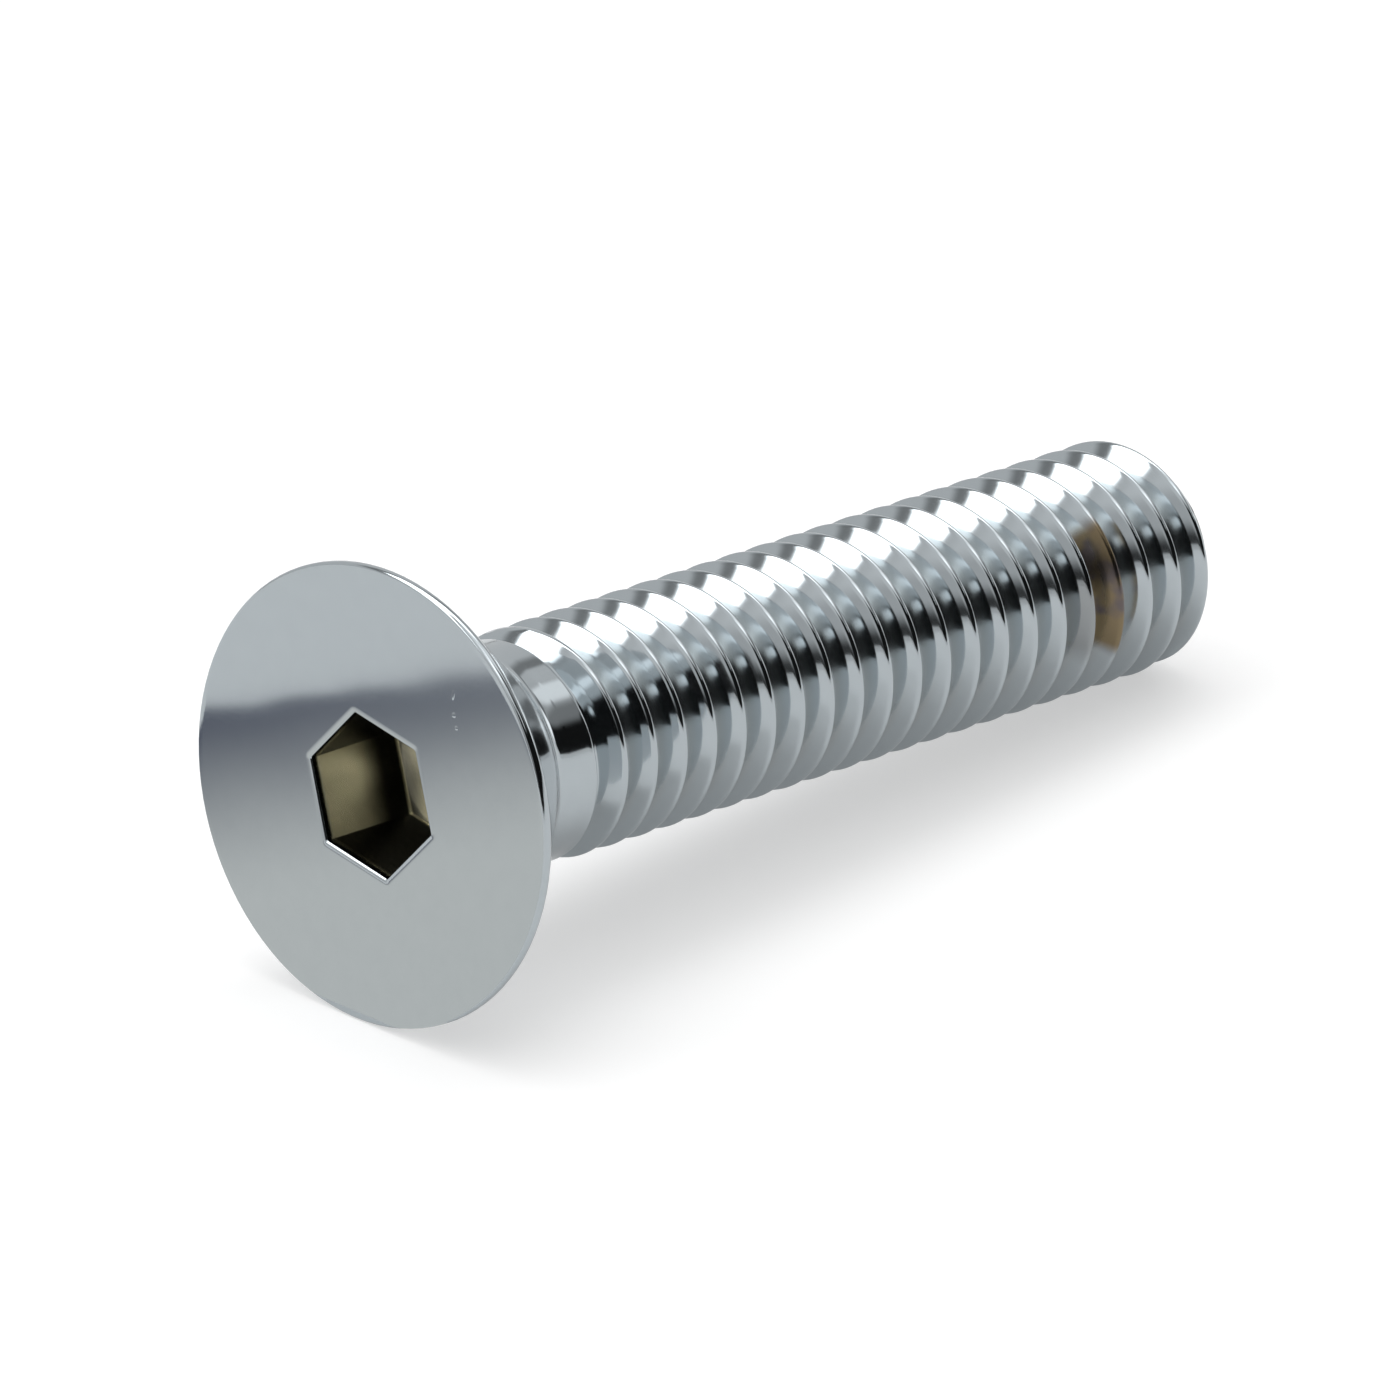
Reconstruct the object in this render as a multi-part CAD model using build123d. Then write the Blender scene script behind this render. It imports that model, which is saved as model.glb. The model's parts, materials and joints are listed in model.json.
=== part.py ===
from build123d import *
import math
import os

# A flat head socket cap screw, 5/16 in with 18 threads to the inch, lying on a table.
# Lengths in millimetres, angles in degrees.
# It is built upright with the middle of the head's top face at the origin and Z running to the point,
# then laid down so that its head rim and its last full crest touch the plane Z = 0.

# Head
HEAD_D = 15.5
HEAD_ANGLE = 82.0
RIM_LAND = 0.28
RIM_EDGE_BREAK = 0.08
NECK_FILLET = 0.55
SEAM_TURN = 182.05

# Hexagon socket
SOCKET_ACROSS_FLATS = 4.7625
SOCKET_DEPTH = 4.0
SOCKET_TURN = 39.5
SOCKET_EDGE_BREAK = 0.10
DRILL_POINT_ANGLE = 118.0

# Shank and thread
LENGTH = 37.3
THREAD_D = 7.85
THREADS_PER_INCH = 18
FLANK_ANGLE = 60.0
CREST_FLAT_SHARE = 0.125
SHANK_D = 7.52
SHANK_END = 6.75
FULL_BODY_FROM = 7.45

# Where the groove first reaches its full depth, and how far it climbs out over the half turn before that
GROOVE_FULL_AT = 7.06
GROOVE_FULL_TURN = 210.0
RUNOUT_CLIMB = 1.00

# Point
POINT_D = 5.60
POINT_ANGLE = 45.0

PITCH = 25.4 / THREADS_PER_INCH
HEAD_R = HEAD_D / 2
THREAD_R = THREAD_D / 2
SHANK_R = SHANK_D / 2
POINT_R = POINT_D / 2
THREAD_DEPTH = 0.61343 * PITCH
ROOT_R = THREAD_R - THREAD_DEPTH
CREST_FLAT = CREST_FLAT_SHARE * PITCH
CONE_SLOPE = math.tan(math.radians(HEAD_ANGLE / 2))
CONE_END = RIM_LAND + (HEAD_R - SHANK_R) / CONE_SLOPE
POINT_LENGTH = (THREAD_R - POINT_R) / math.tan(math.radians(POINT_ANGLE))
CHAMFER_FROM = LENGTH - POINT_LENGTH


# The turned blank

with BuildSketch(Plane.XZ) as half_section:
    with BuildLine():
        Polyline(
            (0, 0),
            (HEAD_R - RIM_EDGE_BREAK, 0),
            (HEAD_R, RIM_EDGE_BREAK),
            (HEAD_R, RIM_LAND),
            (SHANK_R, CONE_END),
            (SHANK_R, SHANK_END),
            (THREAD_R, FULL_BODY_FROM),
            (THREAD_R, CHAMFER_FROM),
            (POINT_R, LENGTH),
            (0, LENGTH),
            close=True,
        )
    make_face()
    neck_corner = half_section.vertices().sort_by_distance((SHANK_R, CONE_END))[0]
    fillet(neck_corner, NECK_FILLET)

# The turned faces close on the side away from the table
blank = revolve(half_section.sketch, Axis.Z).rotate(Axis.Z, SEAM_TURN)


# The hexagon socket, with the cone its drill leaves in the floor

hexagon = RegularPolygon(SOCKET_ACROSS_FLATS / 2, 6, major_radius=False, rotation=SOCKET_TURN)
socket = extrude(hexagon, SOCKET_DEPTH)
drill_cone_depth = SOCKET_ACROSS_FLATS / 2 / math.tan(math.radians(DRILL_POINT_ANGLE / 2))
drill_point = Cone(
    SOCKET_ACROSS_FLATS / 2,
    0,
    drill_cone_depth,
    align=(Align.CENTER, Align.CENTER, Align.MIN),
)
socket += Pos(0, 0, SOCKET_DEPTH) * drill_point

socketed = blank - socket
mouth = socketed.edges().filter_by(GeomType.LINE).filter_by(lambda e: abs((e @ 0.5).Z) < 1e-6)
socketed = chamfer(mouth, SOCKET_EDGE_BREAK)


# The thread groove: a V with a flat root that winds down the body as a true helix.
# It is a closed tube of four ruled strips a turn, one between each two neighbouring corner helices.

OUTSIDE_R = THREAD_R + 0.10
RUNOUT_ANGLE = math.degrees(math.atan(RUNOUT_CLIMB / (PITCH / 2)))


def groove_half_width(radius):
    at_the_crests = (PITCH - CREST_FLAT) / 2
    return at_the_crests + (radius - THREAD_R) * math.tan(math.radians(FLANK_ANGLE / 2))


def corner_offsets():
    inner = groove_half_width(ROOT_R)
    outer = groove_half_width(OUTSIDE_R)
    return [(ROOT_R, -inner), (ROOT_R, inner), (OUTSIDE_R, outer), (OUTSIDE_R, -outer)]


def ring_of_strips(corner_helices):
    following = corner_helices[1:] + corner_helices[:1]
    return [Face.make_surface_from_curves(a, b) for a, b in zip(corner_helices, following)]


def full_turn(number):
    start = GROOVE_FULL_AT + number * PITCH
    return [
        Edge.make_helix(PITCH, PITCH, radius, center=(0, 0, start + offset))
        for radius, offset in corner_offsets()
    ]


def runout_half_turn():
    slant_pitch = PITCH / math.cos(math.radians(RUNOUT_ANGLE))
    start = GROOVE_FULL_AT - PITCH / 2
    return [
        Edge.make_helix(
            slant_pitch,
            PITCH / 2,
            radius + RUNOUT_CLIMB,
            center=(0, 0, start + offset),
            angle=-RUNOUT_ANGLE,
        ).rotate(Axis.Z, 180)
        for radius, offset in corner_offsets()
    ]


turns = math.ceil((LENGTH - GROOVE_FULL_AT) / PITCH) + 1
strips = ring_of_strips(runout_half_turn())
for number in range(turns):
    strips += ring_of_strips(full_turn(number))
opening_end = Face(Wire.make_polygon([helix @ 0 for helix in runout_half_turn()], close=True))
closing_end = Face(Wire.make_polygon([helix @ 1 for helix in full_turn(turns - 1)], close=True))
groove = Solid(Shell(strips + [opening_end, closing_end]))
groove = groove.rotate(Axis.Z, GROOVE_FULL_TURN)

upright = socketed - groove


# Laid down: the lower corner of the rim and the last crest before the point chamfer touch the table

lowest_groove_at = GROOVE_FULL_AT - PITCH * GROOVE_FULL_TURN / 360
first_crest_edge = lowest_groove_at - groove_half_width(THREAD_R)
whole_pitches = math.floor((CHAMFER_FROM - first_crest_edge) / PITCH)
last_crest_edge = first_crest_edge + whole_pitches * PITCH
rest_tilt = math.degrees(math.atan((HEAD_R - THREAD_R) / (last_crest_edge - RIM_LAND)))
lying = upright.rotate(Axis.Y, 90 + rest_tilt)
box = lying.bounding_box()
middle = box.center()
screw = lying.moved(Location((-middle.X, -middle.Y, -box.min.Z)))

os.makedirs("parts", exist_ok=True)
export_step(screw, "parts/screw.step")
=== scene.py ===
import json
import math

import bmesh
import bpy
from mathutils import Matrix, Vector

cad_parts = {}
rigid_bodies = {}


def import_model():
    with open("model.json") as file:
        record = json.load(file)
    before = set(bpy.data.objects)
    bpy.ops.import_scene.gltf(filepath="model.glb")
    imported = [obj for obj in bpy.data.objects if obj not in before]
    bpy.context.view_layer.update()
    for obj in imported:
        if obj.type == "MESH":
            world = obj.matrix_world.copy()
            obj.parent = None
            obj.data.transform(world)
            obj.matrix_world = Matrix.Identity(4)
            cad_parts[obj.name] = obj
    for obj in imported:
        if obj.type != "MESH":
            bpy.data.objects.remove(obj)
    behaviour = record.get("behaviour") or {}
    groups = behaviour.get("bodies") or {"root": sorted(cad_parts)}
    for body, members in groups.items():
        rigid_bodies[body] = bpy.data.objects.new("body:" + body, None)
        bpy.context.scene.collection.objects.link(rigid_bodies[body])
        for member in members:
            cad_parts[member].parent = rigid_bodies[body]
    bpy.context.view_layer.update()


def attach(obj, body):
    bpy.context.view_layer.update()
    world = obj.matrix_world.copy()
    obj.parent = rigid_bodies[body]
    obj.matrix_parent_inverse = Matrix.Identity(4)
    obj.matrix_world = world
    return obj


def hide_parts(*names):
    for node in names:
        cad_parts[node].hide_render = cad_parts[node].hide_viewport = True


for leftover in list(bpy.data.objects):
    bpy.data.objects.remove(leftover)
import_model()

# The screw, in millimetres, upright: the middle of the head's top face is the origin and Z runs to the point

HEAD_R = 7.75
CONE_ANGLE = 82.0
RIM_LAND = 0.28
SOCKET_FLATS = 4.7625
SOCKET_DEPTH = 4.0
SOCKET_TURN = 39.5
DRILL_CONE_DEPTH = 1.431
DRILL_CONE_CUT = 0.07
SHANK_R = 3.76
SHANK_END = 6.75
FULL_BODY_FROM = 7.45
THREAD_R = 3.925
PITCH = 25.4 / 18
FLANK_LEAN = math.radians(30)
CREST_FLAT = 0.125 * PITCH
THREAD_DEPTH = 0.61343 * PITCH
ROOT_R = THREAD_R - THREAD_DEPTH
GROOVE_FULL_AT = 7.06
GROOVE_FULL_TURN = math.radians(210.0)
RUNOUT_CLIMB = 1.0
LENGTH = 37.3
POINT_R = 2.8

# The threaded body is cut off level at two heights. Turned ends stop short of the cuts and are bridged to it
SHANK_CUT_AT = 5.60
SHANK_GAP = 0.08
POINT_CUT_AT = 37.15
POINT_LEAD = 0.10

# Lying: the middle of the head's face, and how far the screw's axis falls towards its point
HEAD_MIDDLE = Vector((-18.2747, 0.0, 7.7346))
REST_TILT = math.radians(6.241667)

STEPS_ROUND = 84
STEPS_ROUND_ENDS = 96
STEPS_ROUND_DRILL_CONE = 60
TURNS = 25
MERGE_WITHIN = 0.002
SHARP_FROM = math.radians(38)

# How softly corners round off: a crest's corner on the point's side of a groove and on its head's side, the
# root's, both ends of the taper between neck and body, and the start of the point's chamfer
SOFT_CREST_AHEAD = 0.10
SOFT_CREST_BEHIND = 0.15
SOFT_ROOT = 0.20
SOFT_BODY = 0.05
SOFT_NECK = 0.08
SOFT_POINT = 0.16


# Thread

def soft_lower(a, b, softness):
    """The lower of two values, with a rounded change from one to the other."""
    share = max(softness - abs(a - b), 0.0) / softness
    return min(a, b) - share * share * softness / 4


def soft_upper(a, b, softness):
    return -soft_lower(-a, -b, softness)


def turned_radius(z):
    """The body's outline before the thread is cut: neck, taper, full body, chamfered point."""
    taper = SHANK_R + (THREAD_R - SHANK_R) * (z - SHANK_END) / (FULL_BODY_FROM - SHANK_END)
    body = soft_upper(SHANK_R, soft_lower(taper, THREAD_R, SOFT_BODY), SOFT_NECK)
    return soft_lower(body, POINT_R + LENGTH - z, SOFT_POINT)


def groove_radius(from_middle):
    """The groove's outline, a V with a flat root, by height from the groove's middle."""
    flank = THREAD_R + (abs(from_middle) - (PITCH - CREST_FLAT) / 2) / math.tan(FLANK_LEAN)
    return soft_upper(ROOT_R, flank, SOFT_ROOT)


def thread_radius(x, y, z):
    """The finished body's radius at that place: the nearest groove, climbing out over its first half turn."""
    turn = (math.atan2(y, x) - GROOVE_FULL_TURN) / (2 * math.pi)
    groove = round((z - GROOVE_FULL_AT) / PITCH - turn)
    from_middle = z - GROOVE_FULL_AT - (turn + groove) * PITCH
    climb = RUNOUT_CLIMB * max(0.0, -2 * (turn + groove))
    softness = SOFT_CREST_AHEAD if from_middle > 0 else SOFT_CREST_BEHIND
    return soft_lower(turned_radius(z), groove_radius(from_middle) + climb, softness)


def groove_line_heights():
    """Heights over one pitch from the groove's middle, close together at the root and the crest's corners."""
    corner = (PITCH - CREST_FLAT) / 2
    root = [0.0, 0.05, 0.10, 0.15, 0.20, 0.27]
    towards_head = [corner + step for step in (-0.20, -0.11, -0.07, -0.035, 0.0, 0.035, 0.065)]
    towards_point = [corner + step for step in (-0.20, -0.07, -0.035, -0.012, 0.012, 0.035, 0.06)]
    half = PITCH / 2
    below = [-h for h in reversed(root[1:] + towards_head)]
    return below + root + towards_point + [half]


def threaded_body():
    """Winds a line one pitch high into a helical band, stacks such bands, and gives each point its radius."""
    bm = bmesh.new()
    lowest = GROOVE_FULL_AT - 2 * PITCH
    heights = [-PITCH / 2] + groove_line_heights()
    line = [bm.verts.new((THREAD_R, 0, lowest + height)) for height in heights]
    for pair in zip(line, line[1:]):
        bm.edges.new(pair)
    start = Matrix.Rotation(GROOVE_FULL_TURN, 3, "Z")
    bmesh.ops.rotate(bm, cent=(0, 0, 0), matrix=start, verts=bm.verts)
    bmesh.ops.spin(
        bm, geom=bm.verts[:] + bm.edges[:], cent=(0, 0, 0), axis=(0, 0, 1), dvec=(0, 0, PITCH / STEPS_ROUND),
        angle=2 * math.pi, steps=STEPS_ROUND, use_merge=False, use_duplicate=False,
    )
    one_turn = bm.verts[:] + bm.edges[:] + bm.faces[:]
    for number in range(1, TURNS):
        copied = bmesh.ops.duplicate(bm, geom=one_turn)["geom"]
        moved = [v for v in copied if isinstance(v, bmesh.types.BMVert)]
        bmesh.ops.translate(bm, verts=moved, vec=(0, 0, number * PITCH))
    bmesh.ops.remove_doubles(bm, verts=bm.verts, dist=MERGE_WITHIN)
    for v in bm.verts:
        radius = thread_radius(*v.co)
        now = math.hypot(v.co.x, v.co.y)
        v.co.x *= radius / now
        v.co.y *= radius / now
    for at, normal in ((SHANK_CUT_AT, -1), (POINT_CUT_AT, 1)):
        everything = bm.verts[:] + bm.edges[:] + bm.faces[:]
        bmesh.ops.bisect_plane(
            bm, geom=everything, dist=0.0001, plane_co=(0, 0, at), plane_no=(0, 0, normal), clear_outer=True,
        )
    return bm


# Turned ends

def turned(bm, outline):
    """Spins an outline of (radius, height) points round Z."""
    line = [bm.verts.new((radius, 0, height)) for radius, height in outline]
    edges = [bm.edges.new(pair) for pair in zip(line, line[1:])]
    bmesh.ops.spin(
        bm, geom=line + edges, cent=(0, 0, 0), axis=(0, 0, 1), angle=2 * math.pi, steps=STEPS_ROUND_ENDS,
        use_merge=True, use_duplicate=False,
    )


def ring_at(bm, radius, height):
    """The edges of the ring of that radius at that height."""
    def on_ring(v):
        return abs(v.co.z - height) < 1e-3 and abs(math.hypot(v.co.x, v.co.y) - radius) < 1e-3
    return [e for e in bm.edges if all(on_ring(v) for v in e.verts)]


def open_ring_near(bm, height):
    return [e for e in bm.edges if e.is_boundary and all(abs(v.co.z - height) < 1e-3 for v in e.verts)]


def rounded(bm, edges, offset, segments):
    bmesh.ops.bevel(
        bm, geom=edges, offset=offset, offset_type="OFFSET", segments=segments, profile=0.5, affect="EDGES",
        material=-1, clamp_overlap=True,
    )


def head_and_neck(bm):
    slope = math.tan(math.radians(CONE_ANGLE / 2))
    cone_end = RIM_LAND + (HEAD_R - SHANK_R) / slope
    turned(bm, [
        (HEAD_R - 0.75, 0),
        (HEAD_R - 0.25, 0),
        (HEAD_R, 0),
        (HEAD_R, RIM_LAND),
        (HEAD_R - 0.30, RIM_LAND + 0.30 / slope),
        (SHANK_R + 0.60, cone_end - 0.60 / slope),
        (SHANK_R, cone_end),
        (SHANK_R, SHANK_CUT_AT - SHANK_GAP),
    ])
    rounded(bm, ring_at(bm, HEAD_R, 0), 0.11, 4)
    rounded(bm, ring_at(bm, HEAD_R, RIM_LAND), 0.07, 3)
    rounded(bm, ring_at(bm, SHANK_R, cone_end), 0.25, 6)


def point_end(bm):
    middle_r = 0.6
    turned(bm, [
        (POINT_R + POINT_LEAD, LENGTH - POINT_LEAD),
        (POINT_R, LENGTH),
        (POINT_R - 0.30, LENGTH),
        (POINT_R - 1.0, LENGTH),
        (middle_r, LENGTH),
    ])
    rounded(bm, ring_at(bm, POINT_R, LENGTH), 0.07, 3)
    bmesh.ops.contextual_create(bm, geom=ring_at(bm, middle_r, LENGTH))


# Hexagon socket

def sunk(bm, face, inset, depth):
    """Insets the face and moves it that much deeper into the head."""
    bmesh.ops.inset_individual(bm, faces=[face], thickness=inset, depth=0, use_even_offset=True)
    bmesh.ops.translate(bm, verts=face.verts, vec=(0, 0, depth))


def deepened(bm, face, depth):
    """Draws the face out as a straight-walled hole and returns its new floor."""
    floor = bmesh.ops.extrude_discrete_faces(bm, faces=[face])["faces"][0]
    bmesh.ops.translate(bm, verts=floor.verts, vec=(0, 0, depth))
    return floor


def hexagon_socket(bm):
    """A hexagon in the head's face with rounded corners, its sunk mouth, its walls and the drill's cone."""
    corner_r = (SOCKET_FLATS / 2 + 0.25) / math.cos(math.pi / 6)
    corners = bmesh.ops.create_circle(bm, cap_ends=True, radius=corner_r, segments=6)["verts"]
    turn = Matrix.Rotation(math.radians(SOCKET_TURN - 30), 3, "Z")
    bmesh.ops.rotate(bm, cent=(0, 0, 0), matrix=turn, verts=corners)
    bmesh.ops.bevel(
        bm, geom=corners, offset=0.16, offset_type="OFFSET", segments=4, profile=0.5, affect="VERTICES",
        material=-1, clamp_overlap=True,
    )
    face = next(f for f in bm.faces if len(f.verts) > 12 and f.calc_center_median().length < 0.1)
    for inset, depth in ((0.18, 0.0), (0.03, 0.02), (0.03, 0.04)):
        sunk(bm, face, inset, depth)
    mouth_depth = 0.06
    for depth in (0.25, 3.2, SOCKET_DEPTH - mouth_depth - 0.25 - 3.2):
        face = deepened(bm, face, depth)
    floor_rim = face.edges[:]
    bmesh.ops.delete(bm, geom=[face], context="FACES_ONLY")
    cone_depth = DRILL_CONE_DEPTH - DRILL_CONE_CUT
    cone = bmesh.ops.create_cone(
        bm, cap_ends=True, radius1=SOCKET_FLATS / 2 - 0.03, radius2=0.12, depth=cone_depth,
        segments=STEPS_ROUND_DRILL_CONE,
    )["verts"]
    bmesh.ops.translate(bm, verts=cone, vec=(0, 0, SOCKET_DEPTH + cone_depth / 2))
    round_faces = [f for f in bm.faces if len(f.verts) == STEPS_ROUND_DRILL_CONE]
    cone_base = [f for f in round_faces if abs(f.calc_center_median().z - SOCKET_DEPTH) < 0.01]
    cone_rim = cone_base[0].edges[:]
    bmesh.ops.delete(bm, geom=cone_base, context="FACES_ONLY")
    bmesh.ops.bridge_loops(bm, edges=floor_rim + cone_rim)


def whole_screw():
    bm = threaded_body()
    head_and_neck(bm)
    point_end(bm)
    hexagon_socket(bm)
    neck_gap = (SHANK_CUT_AT - SHANK_GAP, SHANK_CUT_AT)
    point_gap = (POINT_CUT_AT, LENGTH - POINT_LEAD)
    gap_round_hexagon = (0.0,)
    for heights in (neck_gap, point_gap, gap_round_hexagon):
        rings = [e for at in heights for e in open_ring_near(bm, at)]
        bmesh.ops.bridge_loops(bm, edges=rings)
    bmesh.ops.recalc_face_normals(bm, faces=bm.faces)
    for face in bm.faces:
        face.smooth = True
    for edge in bm.edges:
        if edge.calc_face_angle(0.0) > SHARP_FROM:
            edge.smooth = False
    return bm


def lying_matrix():
    turn = Matrix.Rotation(math.pi / 2 + REST_TILT, 4, "Y")
    return Matrix.Scale(0.001, 4) @ Matrix.Translation(HEAD_MIDDLE) @ turn


def plated_screw():
    bm = whole_screw()
    bm.transform(lying_matrix())
    mesh = bpy.data.meshes.new("plated_screw")
    bm.to_mesh(mesh)
    bm.free()
    screw = bpy.data.objects.new("plated_screw", mesh)
    bpy.context.scene.collection.objects.link(screw)
    evened = screw.modifiers.new("evened_normals", "WEIGHTED_NORMAL")
    evened.keep_sharp = True
    return screw


# Shader maths

class Field:
    """A shader socket that takes part in sums. An operator adds its Math node."""

    def __init__(self, tree, socket):
        self.tree = tree
        self.socket = socket

    def node(self, kind, settings=None, **values):
        """Any node of this tree: its settings, then values or links of its sockets, by name or number."""
        made = self.tree.nodes.new(kind)
        for name, value in (settings or {}).items():
            setattr(made, name, value)
        for name, value in values.items():
            key = int(name[1:]) if name[0] == "i" and name[1:].isdigit() else name.replace("_", " ")
            if isinstance(value, Field):
                self.tree.links.new(value.socket, made.inputs[key])
            else:
                made.inputs[key].default_value = value
        return made

    def out(self, made, name=0):
        return Field(self.tree, made.outputs[name])

    def math(self, operation, *values):
        numbered = {f"i{n}": value for n, value in enumerate(values)}
        return self.out(self.node("ShaderNodeMath", {"operation": operation}, **numbered))

    def __add__(self, other):
        return self.math("ADD", self, other)

    __radd__ = __add__

    def __sub__(self, other):
        return self.math("SUBTRACT", self, other)

    def __rsub__(self, other):
        return self.math("SUBTRACT", other, self)

    def __mul__(self, other):
        return self.math("MULTIPLY", self, other)

    __rmul__ = __mul__

    def __truediv__(self, other):
        return self.math("DIVIDE", self, other)

    def root(self):
        return self.math("SQRT", self)

    def rises(self, start, end):
        """0 below start and 1 above end, smooth between."""
        smooth = {"interpolation_type": "SMOOTHSTEP"}
        return self.out(self.node("ShaderNodeMapRange", smooth, i0=self, i1=start, i2=end, i3=0.0, i4=1.0))

    def falls(self, start, end):
        return 1 - self.rises(start, end)

    def between(self, low, high, soft):
        return self.rises(low - soft, low + soft) * self.falls(high - soft, high + soft)

    def noise(self, scale, detail, roughness):
        made = self.node("ShaderNodeTexNoise", Vector=self, Scale=scale, Detail=detail, Roughness=roughness)
        return self.out(made, "Fac")

    def parts(self):
        made = self.node("ShaderNodeSeparateXYZ", Vector=self)
        return [self.out(made, n) for n in range(3)]

    def mixed(self, factor, first, second):
        """A colour between two colours."""
        of_colours = {"data_type": "RGBA", "clamp_factor": True}
        return self.out(self.node("ShaderNodeMix", of_colours, i0=factor, i6=first, i7=second), 2)


def new_material(name):
    """A material with nothing but its output, and the Field that adds nodes to it."""
    material = bpy.data.materials.new(name)
    material.use_nodes = True
    tree = material.node_tree
    tree.nodes.clear()
    output = tree.nodes.new("ShaderNodeOutputMaterial")
    return material, Field(tree, None), output


def spot_at(round_axis, z, angle, height):
    """A speck about 0.3 mm wide, at that angle round the axis and that height."""
    sideways = (round_axis - angle) * (THREAD_R * math.pi / 180)
    upwards = z - height
    return (sideways * sideways + upwards * upwards).falls(0.005, 0.03)


def dot_at(x, y, at_x, at_y, radius):
    """A dot on the head's face."""
    off_x = x - at_x
    off_y = y - at_y
    return (off_x * off_x + off_y * off_y).falls(0.0, radius * radius)


def chrome_plate():
    material, maker, output = new_material("chrome_plate")
    place = maker.out(maker.node("ShaderNodeTexCoord"), "Object")
    on_screw = maker.out(maker.node(
        "ShaderNodeMapping", {"vector_type": "TEXTURE"}, Vector=place, Location=HEAD_MIDDLE / 1000,
        Rotation=(0, math.pi / 2 + REST_TILT, 0), Scale=(0.001, 0.001, 0.001),
    ))
    x, y, z = on_screw.parts()
    radius = (x * x + y * y).root()

    round_axis = maker.math("ARCTAN2", y, x) * (180 / math.pi)

    in_socket = radius.falls(2.80, 2.95) * z.rises(0.06, 0.5) * z.falls(5.6, 6.0)
    # Darker, warmer and rougher well below the crests past the neck: in the grooves' roots and lower flanks,
    # and on the point's end
    below_crests = radius.falls(3.20, 3.62) * z.rises(7.0, 9.0)
    cloudy = on_screw.noise(1.4, 4.0, 0.6)

    # The socket's walls are painted black as shade and dark reflections, apart from one wall's outer half and
    # the floor
    unshaded_wall = round_axis.between(SOCKET_TURN, SOCKET_TURN + 60, 1.5) * z.falls(1.8, 3.2)
    unshaded_floor = z.rises(SOCKET_DEPTH - 0.15, SOCKET_DEPTH - 0.02)
    socket_shade = 1 - maker.math("MAXIMUM", unshaded_wall, unshaded_floor)

    steel = maker.mixed(cloudy, (0.455, 0.50, 0.525, 1), (0.485, 0.53, 0.555, 1))
    steel = maker.mixed(below_crests * 0.35, steel, (0.42, 0.41, 0.38, 1))
    steel = maker.mixed(in_socket * 0.9, steel, (0.95, 0.90, 0.68, 1))
    # Painted shade and dark reflections: black over the socket's walls, apart from the unshaded wall and
    # floor
    steel = maker.mixed(in_socket * socket_shade, steel, (0.035, 0.035, 0.03, 1))

    # A brown stain in the thread near the point, paler in the next groove, and three specks of rust by it
    along_groove = z - (round_axis + 145) * (PITCH / 360)
    blotches = on_screw.noise(0.9, 2.0, 0.5)
    stain = round_axis.between(-141, -70, 5.0) * along_groove.between(30.95, 32.0, 0.14)
    faint_stain = round_axis.between(-115, -72, 8.0) * along_groove.between(29.6, 30.7, 0.2)
    specks = spot_at(round_axis, z, -68, 29.6) + spot_at(round_axis, z, -60, 31.0)
    specks = specks + spot_at(round_axis, z, -58, 32.6)
    brown = maker.mixed(blotches.rises(0.42, 0.6), (0.11, 0.08, 0.075, 1), (0.20, 0.14, 0.06, 1))
    steel = maker.mixed(faint_stain * 0.5, steel, (0.15, 0.14, 0.13, 1))
    steel = maker.mixed(stain * 0.9, steel, brown)
    on_crest = radius.rises(THREAD_R - 0.35, THREAD_R - 0.2)
    steel = maker.mixed(specks * on_crest, steel, (0.30, 0.25, 0.06, 1))

    # Two small nicks and a scratch in the head's face
    nicks = dot_at(x, y, -3.9, -3.35, 0.10) + dot_at(x, y, -3.5, -3.5, 0.08)
    scratch = dot_at(x * 0.35, y, -1.60, -3.25, 0.07)

    fine = on_screw.noise(9.0, 6.0, 0.7)
    roughness = 0.05 + 0.06 * fine + 0.12 * below_crests + 0.18 * in_socket + 0.15 * stain

    waves = on_screw.noise(0.30, 0.0, 0.5)
    pores = on_screw.noise(24.0, 3.0, 0.6)
    height = waves * 1.2 + pores * 0.006 - (nicks + scratch) * z.falls(0.02, 0.1) * 0.25
    bump = maker.node("ShaderNodeBump", Strength=0.35, Distance=0.00003, Height=height)

    shader = maker.node(
        "ShaderNodeBsdfPrincipled", Base_Color=steel, Metallic=1.0, Roughness=roughness,
        Normal=maker.out(bump),
    )
    maker.tree.links.new(shader.outputs[0], output.inputs["Surface"])
    return material


# Studio

def studio_floor():
    """A round sheet of paper, 6 m across, with a raised rim."""
    bm = bmesh.new()
    bmesh.ops.create_circle(bm, cap_ends=True, radius=3.0, segments=96)
    rim = [e for e in bm.edges if e.is_boundary]
    raised = bmesh.ops.extrude_edge_only(bm, edges=rim)["geom"]
    bmesh.ops.translate(bm, verts=[v for v in raised if isinstance(v, bmesh.types.BMVert)], vec=(0, 0, 0.16))
    rounded(bm, rim, 0.06, 6)
    bmesh.ops.recalc_face_normals(bm, faces=bm.faces)
    if max(bm.faces, key=bmesh.types.BMFace.calc_area).normal.z < 0:
        bmesh.ops.reverse_faces(bm, faces=bm.faces)
    mesh = bpy.data.meshes.new("studio_floor")
    bm.to_mesh(mesh)
    bm.free()
    floor = bpy.data.objects.new("studio_floor", mesh)
    bpy.context.scene.collection.objects.link(floor)
    floor.data.materials.append(pale_paper())


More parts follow.
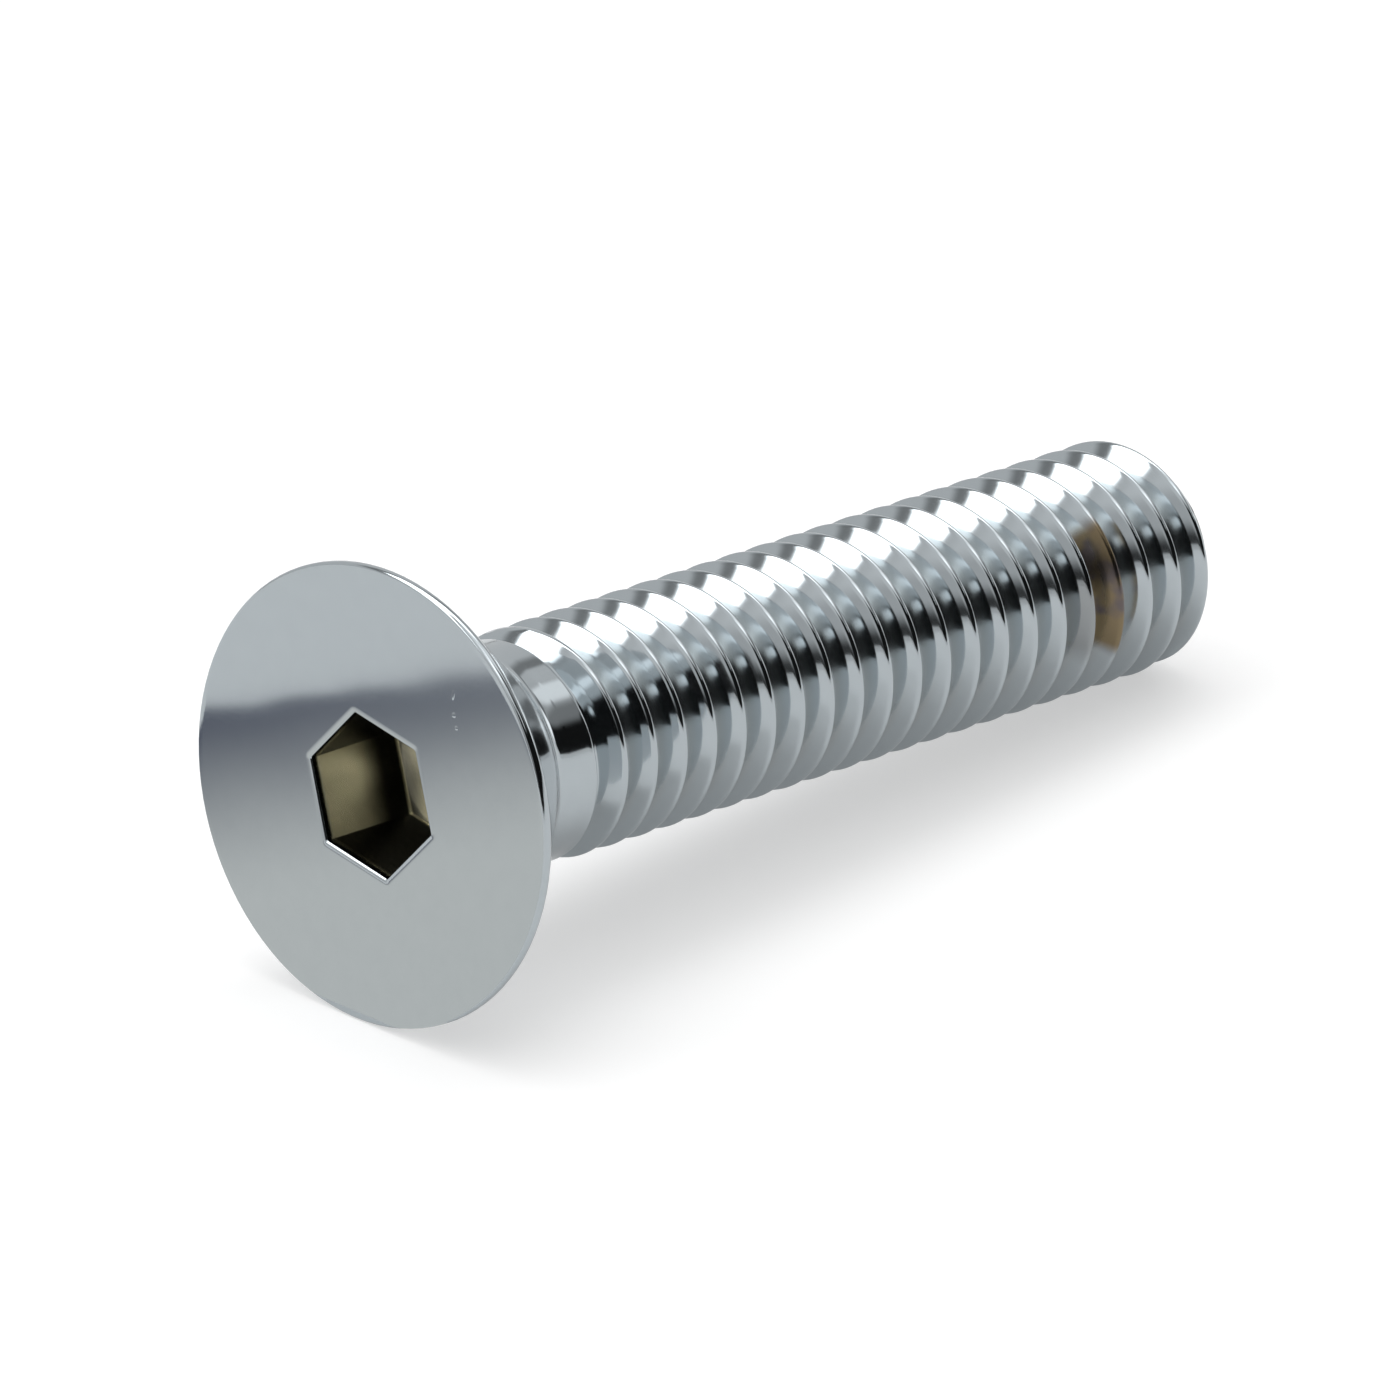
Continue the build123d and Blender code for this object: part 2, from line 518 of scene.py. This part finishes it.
def painted_reflection_card():
    """A glowing sheet lying on the floor beyond the frame, seen only in reflections: a painted reflection
    that the head's face mirrors.
    """
    bm = bmesh.new()
    width, depth = 0.074, 0.0308
    bmesh.ops.create_grid(bm, x_segments=1, y_segments=1, size=0.5)
    bmesh.ops.scale(bm, vec=(width, depth, 1), verts=bm.verts)
    bmesh.ops.translate(bm, vec=(-0.058, 0.0094, 0.0003), verts=bm.verts)
    far_edge = (-0.042, 0.0248, 0)
    bmesh.ops.rotate(bm, cent=far_edge, matrix=Matrix.Rotation(math.radians(6), 3, "Z"), verts=bm.verts)
    mesh = bpy.data.meshes.new("painted_reflection_card")
    bm.to_mesh(mesh)
    bm.free()
    card = bpy.data.objects.new("painted_reflection_card", mesh)
    bpy.context.scene.collection.objects.link(card)
    card.data.materials.append(painted_reflection_glow())
    # Painted reflection: hidden from the camera, lighting nothing and casting no shadow
    card.visible_camera = False
    card.visible_diffuse = False
    card.visible_shadow = False


def painted_reflection_glow():
    """A painted reflection: glows pale near the screw and dark blue grey at the far edge."""
    material, maker, output = new_material("painted_reflection_glow")
    y = maker.out(maker.node("ShaderNodeTexCoord"), "Object").parts()[1]
    darkening = y.rises(0.009, 0.028)
    color = maker.mixed(darkening, (0.85, 0.84, 0.81, 1), (0.074, 0.085, 0.137, 1))
    glow = maker.node("ShaderNodeEmission", Color=color, Strength=1.0)
    maker.tree.links.new(glow.outputs[0], output.inputs["Surface"])
    return material


def pale_paper():
    """White paper with a glow of its own, brighter to the camera than in the screw's reflections."""
    material, maker, output = new_material("pale_paper")
    light_path = maker.node("ShaderNodeLightPath")
    mirrored = maker.math(
        "MAXIMUM", maker.out(light_path, "Is Glossy Ray"), maker.out(light_path, "Is Transmission Ray"),
    )
    paper = maker.node("ShaderNodeBsdfDiffuse", Color=(0.56, 0.56, 0.56, 1))
    glow = maker.node(
        "ShaderNodeEmission", Color=(1, 1, 1, 1),
        Strength=maker.out(light_path, "Is Camera Ray") * 0.50 + mirrored * 0.29,
    )
    both = maker.node("ShaderNodeAddShader", i0=maker.out(paper), i1=maker.out(glow))
    maker.tree.links.new(both.outputs[0], output.inputs["Surface"])
    return material


def studio_world():
    """The studio by direction. Across is degrees from straight behind towards the point's side, height is
    degrees above the floor."""
    world = bpy.data.worlds.new("studio_world")
    bpy.context.scene.world = world
    world.use_nodes = True
    tree = world.node_tree
    tree.nodes.clear()
    output = tree.nodes.new("ShaderNodeOutputWorld")
    maker = Field(tree, None)
    direction = maker.out(maker.node("ShaderNodeTexCoord"), "Generated")
    x, y, z = direction.parts()
    height = maker.math("ARCSINE", z) * (180 / math.pi)
    across = maker.math("ARCTAN2", x, y) * (180 / math.pi)

    # Walls: paler behind the screw, dark on the side that looks at its front
    towards_front = maker.math("ABSOLUTE", across + 8).rises(84, 150)
    level = 0.72 - 0.36 * towards_front

    # The head's end of the room grows dark towards the table
    head_end = across.between(-122, -83, 5.0)
    dim = 0.05 + 0.55 * height.rises(6, 17) + 0.25 * height.rises(24, 32)
    level = level * (1 - head_end) + dim * head_end

    # The front: a dark body low down, a pale wall and ceiling over it
    front = 1 - across.between(-122, 114, 5.0)
    pale = 0.01 + 1.0 * height.rises(42, 50) + 1.2 * height.rises(56, 61) - 1.0 * height.rises(67, 70)
    level = level * (1 - front) + pale * front

    # Next to it on the point's side, bright low down and high up, and a faint strip beside that
    side = across.between(94, 112, 3.0)
    bright_low_and_high = 0.25 + 1.4 * height.between(1, 17, 2.0) + 0.95 * height.rises(29, 35)
    level = level * (1 - side) + bright_low_and_high * side
    level = level + 0.28 * across.between(112, 127, 3.0) * height.between(21, 38, 3.0)

    # The ceiling light, a long bright panel: its edges are straight lines on a level ceiling
    along = x / maker.math("MAXIMUM", z, 0.02)
    out_back = y / maker.math("MAXIMUM", z, 0.02)
    back_edge = out_back + 0.335 * along
    front_edge = out_back + 0.19 * along
    panel = z.rises(0.0, 0.05) * back_edge.falls(0.70, 0.78) * front_edge.rises(0.06, 0.14)
    panel = panel * along.falls(0.9, 1.2) * along.rises(-3.2, -2.4)
    shade_behind = back_edge.rises(0.74, 0.84) * back_edge.falls(1.0, 1.4) * z.rises(0.2, 0.4)
    level = level * (1 - 0.6 * shade_behind) * (1 - panel) + 3.5 * panel

    # A small lamp high up, to the right of the camera
    towards_lamp = maker.node(
        "ShaderNodeVectorMath", {"operation": "DOT_PRODUCT"}, i0=direction, i1=aimed(294, 38),
    )
    spot = maker.out(towards_lamp, "Value").rises(math.cos(math.radians(7.0)), math.cos(math.radians(3.0)))
    level = level + 2.0 * spot

    light_path = maker.node("ShaderNodeLightPath")
    matt = maker.out(light_path, "Is Diffuse Ray")
    strength = level * (1 - 0.38 * matt)
    background = maker.node("ShaderNodeBackground", Color=(1, 1, 1, 1), Strength=strength)
    tree.links.new(background.outputs[0], output.inputs["Surface"])


def aimed(azimuth, height):
    """The direction at that azimuth from +X towards +Y, and that height above the horizon."""
    a = math.radians(azimuth)
    h = math.radians(height)
    return Vector((math.cos(a) * math.cos(h), math.sin(a) * math.cos(h), math.sin(h)))


def overhead_lamp():
    lamp = bpy.data.lights.new("overhead_lamp", "AREA")
    lamp.shape = "DISK"
    lamp.size = 0.5
    lamp.energy = 0.8
    holder = bpy.data.objects.new("overhead_lamp", lamp)
    holder.location = (0.05, 0.10, 0.6)
    holder.rotation_euler = (Vector((0, 0, 0)) - holder.location).to_track_quat("-Z", "Y").to_euler()
    holder.visible_glossy = False
    bpy.context.scene.collection.objects.link(holder)


def camera():
    """Stands where the photo was taken from, about 0.9 m off, with a focal length fitted to the outline."""
    picture_widths = 27873 / 1400
    made = bpy.data.cameras.new("camera")
    made.sensor_width = 36.0
    made.lens = made.sensor_width * picture_widths
    made.clip_start = 0.05
    made.clip_end = 20.0
    holder = bpy.data.objects.new("camera", made)
    holder.location = (-0.59995121, -0.56054121, 0.40468427)
    holder.rotation_euler = (math.radians(90 - 25.97349559), 0, math.radians(-46.81546375))
    bpy.context.scene.collection.objects.link(holder)
    bpy.context.scene.camera = holder


screw = plated_screw()
screw.data.materials.append(chrome_plate())
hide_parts("screw")
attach(screw, "root")

studio_floor()
painted_reflection_card()
studio_world()
overhead_lamp()
camera()
bpy.context.scene.view_settings.view_transform = "Standard"
